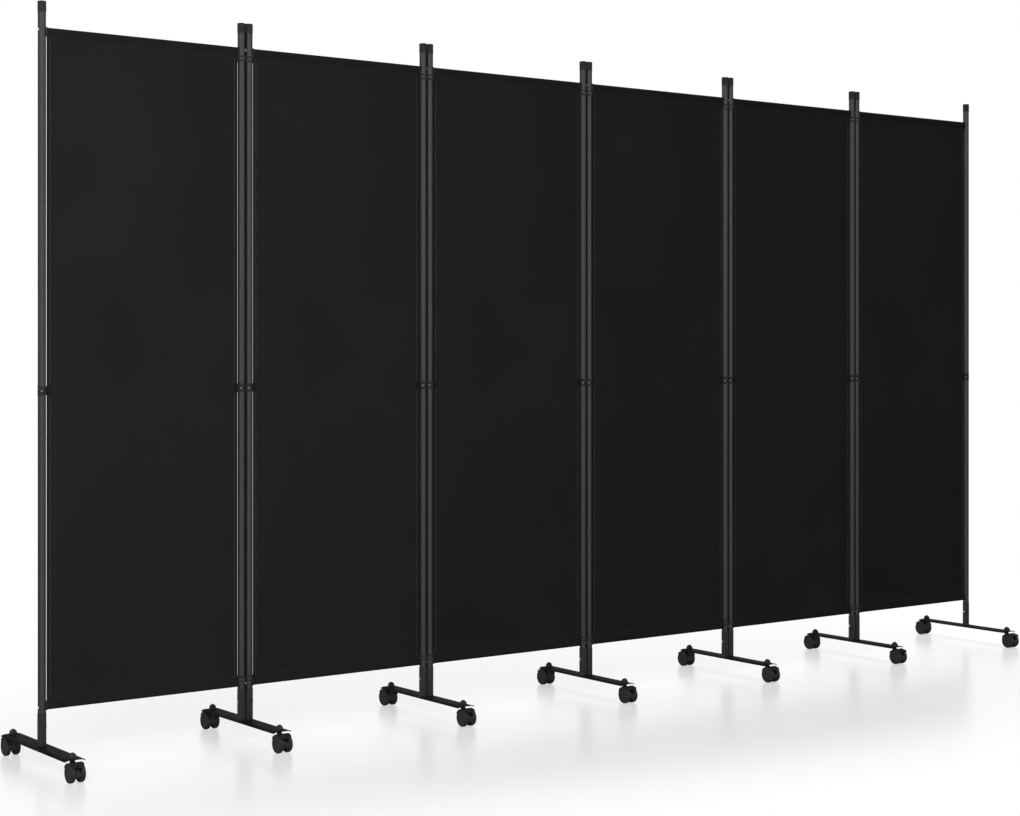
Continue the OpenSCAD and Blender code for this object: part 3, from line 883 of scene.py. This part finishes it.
# %% World
world = bpy.data.worlds.new("white_surroundings")
bpy.context.scene.world = world
world.use_nodes = True
tree = world.node_tree
for node in list(tree.nodes):
    tree.nodes.remove(node)
path = add(tree, "ShaderNodeLightPath", -800, 0)
seen = math_node(tree, "MAXIMUM", path.outputs["Is Camera Ray"], path.outputs["Is Glossy Ray"], -600, 0)
seen = math_node(tree, "MAXIMUM", seen, path.outputs["Is Transmission Ray"], -400, 0)
lamp_light = add(tree, "ShaderNodeBackground", -200, 100)
lamp_light.inputs["Color"].default_value = (1, 1, 1, 1)
lamp_light.inputs["Strength"].default_value = 0.26
white = add(tree, "ShaderNodeBackground", -200, -100)
white.inputs["Color"].default_value = (1, 1, 1, 1)
white.inputs["Strength"].default_value = 1.0
choose = add(tree, "ShaderNodeMixShader", 0, 0)
end = add(tree, "ShaderNodeOutputWorld", 200, 0)
tree.links.new(seen, choose.inputs[0])
tree.links.new(lamp_light.outputs[0], choose.inputs[1])
tree.links.new(white.outputs[0], choose.inputs[2])
tree.links.new(choose.outputs[0], end.inputs["Surface"])


# %% Lamps
def soft_lamp(name, place, target, size, watts):
    """A square soft lamp that looks at a point and doesn't show in reflections."""
    data = bpy.data.lights.new(name, "AREA")
    data.size = size
    data.energy = watts
    lamp = bpy.data.objects.new(name, data)
    bpy.context.scene.collection.objects.link(lamp)
    lamp.location = place
    lamp.visible_glossy = False
    lamp.rotation_euler = (Vector(target) - Vector(place)).to_track_quat("-Z", "Y").to_euler()


soft_lamp("key_lamp", (-3.4, -3.4, 1.65), target=(-0.9, 0, 1.0), size=2.2, watts=205)
soft_lamp("side_lamp", (5.6, -0.45, 1.8), target=(1.0, 0, 1.0), size=1.6, watts=66)
soft_lamp("top_lamp", (2.0, -0.3, 4.2), target=(1.6, -0.1, 0), size=2.0, watts=55)
soft_lamp("back_fill", (-1.5, 4.6, 0.9), target=(-0.2, 0, 1.0), size=1.8, watts=45)
soft_lamp("back_lamp", (0.9, 4.5, 3.2), target=(0, 0, 0.8), size=3.0, watts=60)
print("lamps", len(bpy.data.lights))

# %% [markdown]
# ## The floor
# It is a white, slightly glossy studio floor: near the feet it mirrors the
# panels faintly, and it takes their soft shadow. Farther out it fades to plain
# white for the camera alone, so that it meets the background without a line.
# The fade follows a distance that is squeezed along the row and stretched
# across it, because the row is long and narrow.

# %% Floor
FLOOR, floor_shader = new_material("white_floor")
floor_shader.inputs["Base Color"].default_value = (0.36, 0.36, 0.36, 1)
floor_shader.inputs["Roughness"].default_value = 0.26
floor_shader.inputs["Specular IOR Level"].default_value = 0.18
tree = FLOOR.node_tree
path = add(tree, "ShaderNodeLightPath", -500, -200)
lift = add(tree, "ShaderNodeEmission", 0, -300)
lift.inputs["Color"].default_value = (1, 1, 1, 1)
glow = math_node(tree, "MULTIPLY", path.outputs["Is Camera Ray"], 0.5, -250, -200)
tree.links.new(glow, lift.inputs["Strength"])
both = add(tree, "ShaderNodeAddShader", 200, 0)
tree.links.new(floor_shader.outputs[0], both.inputs[0])
tree.links.new(lift.outputs[0], both.inputs[1])
where = add(tree, "ShaderNodeNewGeometry", -900, -500)
squeeze = add(tree, "ShaderNodeVectorMath", -800, -500, operation="MULTIPLY_ADD")
squeeze.inputs[1].default_value = (0.5, 1.4, 0)
squeeze.inputs[2].default_value = (-0.27, -0.15, 0)
reach = add(tree, "ShaderNodeVectorMath", -650, -500, operation="LENGTH")
tree.links.new(where.outputs["Position"], squeeze.inputs[0])
tree.links.new(squeeze.outputs[0], reach.inputs[0])
fade = add(tree, "ShaderNodeMapRange", -500, -500, interpolation_type="SMOOTHERSTEP")
fade.inputs["From Min"].default_value = 0.9
fade.inputs["From Max"].default_value = 2.1
tree.links.new(reach.outputs["Value"], fade.inputs["Value"])
far_white = add(tree, "ShaderNodeEmission", 0, -500)
blend = add(tree, "ShaderNodeMixShader", 400, 0)
seen_fade = math_node(tree, "MULTIPLY", fade.outputs[0], path.outputs["Is Camera Ray"], -250, -500)
tree.links.new(seen_fade, blend.inputs[0])
tree.links.new(both.outputs[0], blend.inputs[1])
tree.links.new(far_white.outputs[0], blend.inputs[2])
tree.links.new(blend.outputs[0], tree.nodes["Material Output"].inputs["Surface"])
FLOOR_HALF = 30
corners = [(-FLOOR_HALF, -FLOOR_HALF, 0), (FLOOR_HALF, -FLOOR_HALF, 0),
           (FLOOR_HALF, FLOOR_HALF, 0), (-FLOOR_HALF, FLOOR_HALF, 0)]
floor_mesh = mesh_of("studio_floor", corners, [(0, 1, 2, 3)], FLOOR, smooth=False)
floor = bpy.data.objects.new("studio_floor", floor_mesh)
bpy.context.scene.collection.objects.link(floor)

# %% [markdown]
# ## Last things
# The colours are shown as they are written.

# %% Colour view and the end
bpy.context.scene.view_settings.view_transform = "Standard"
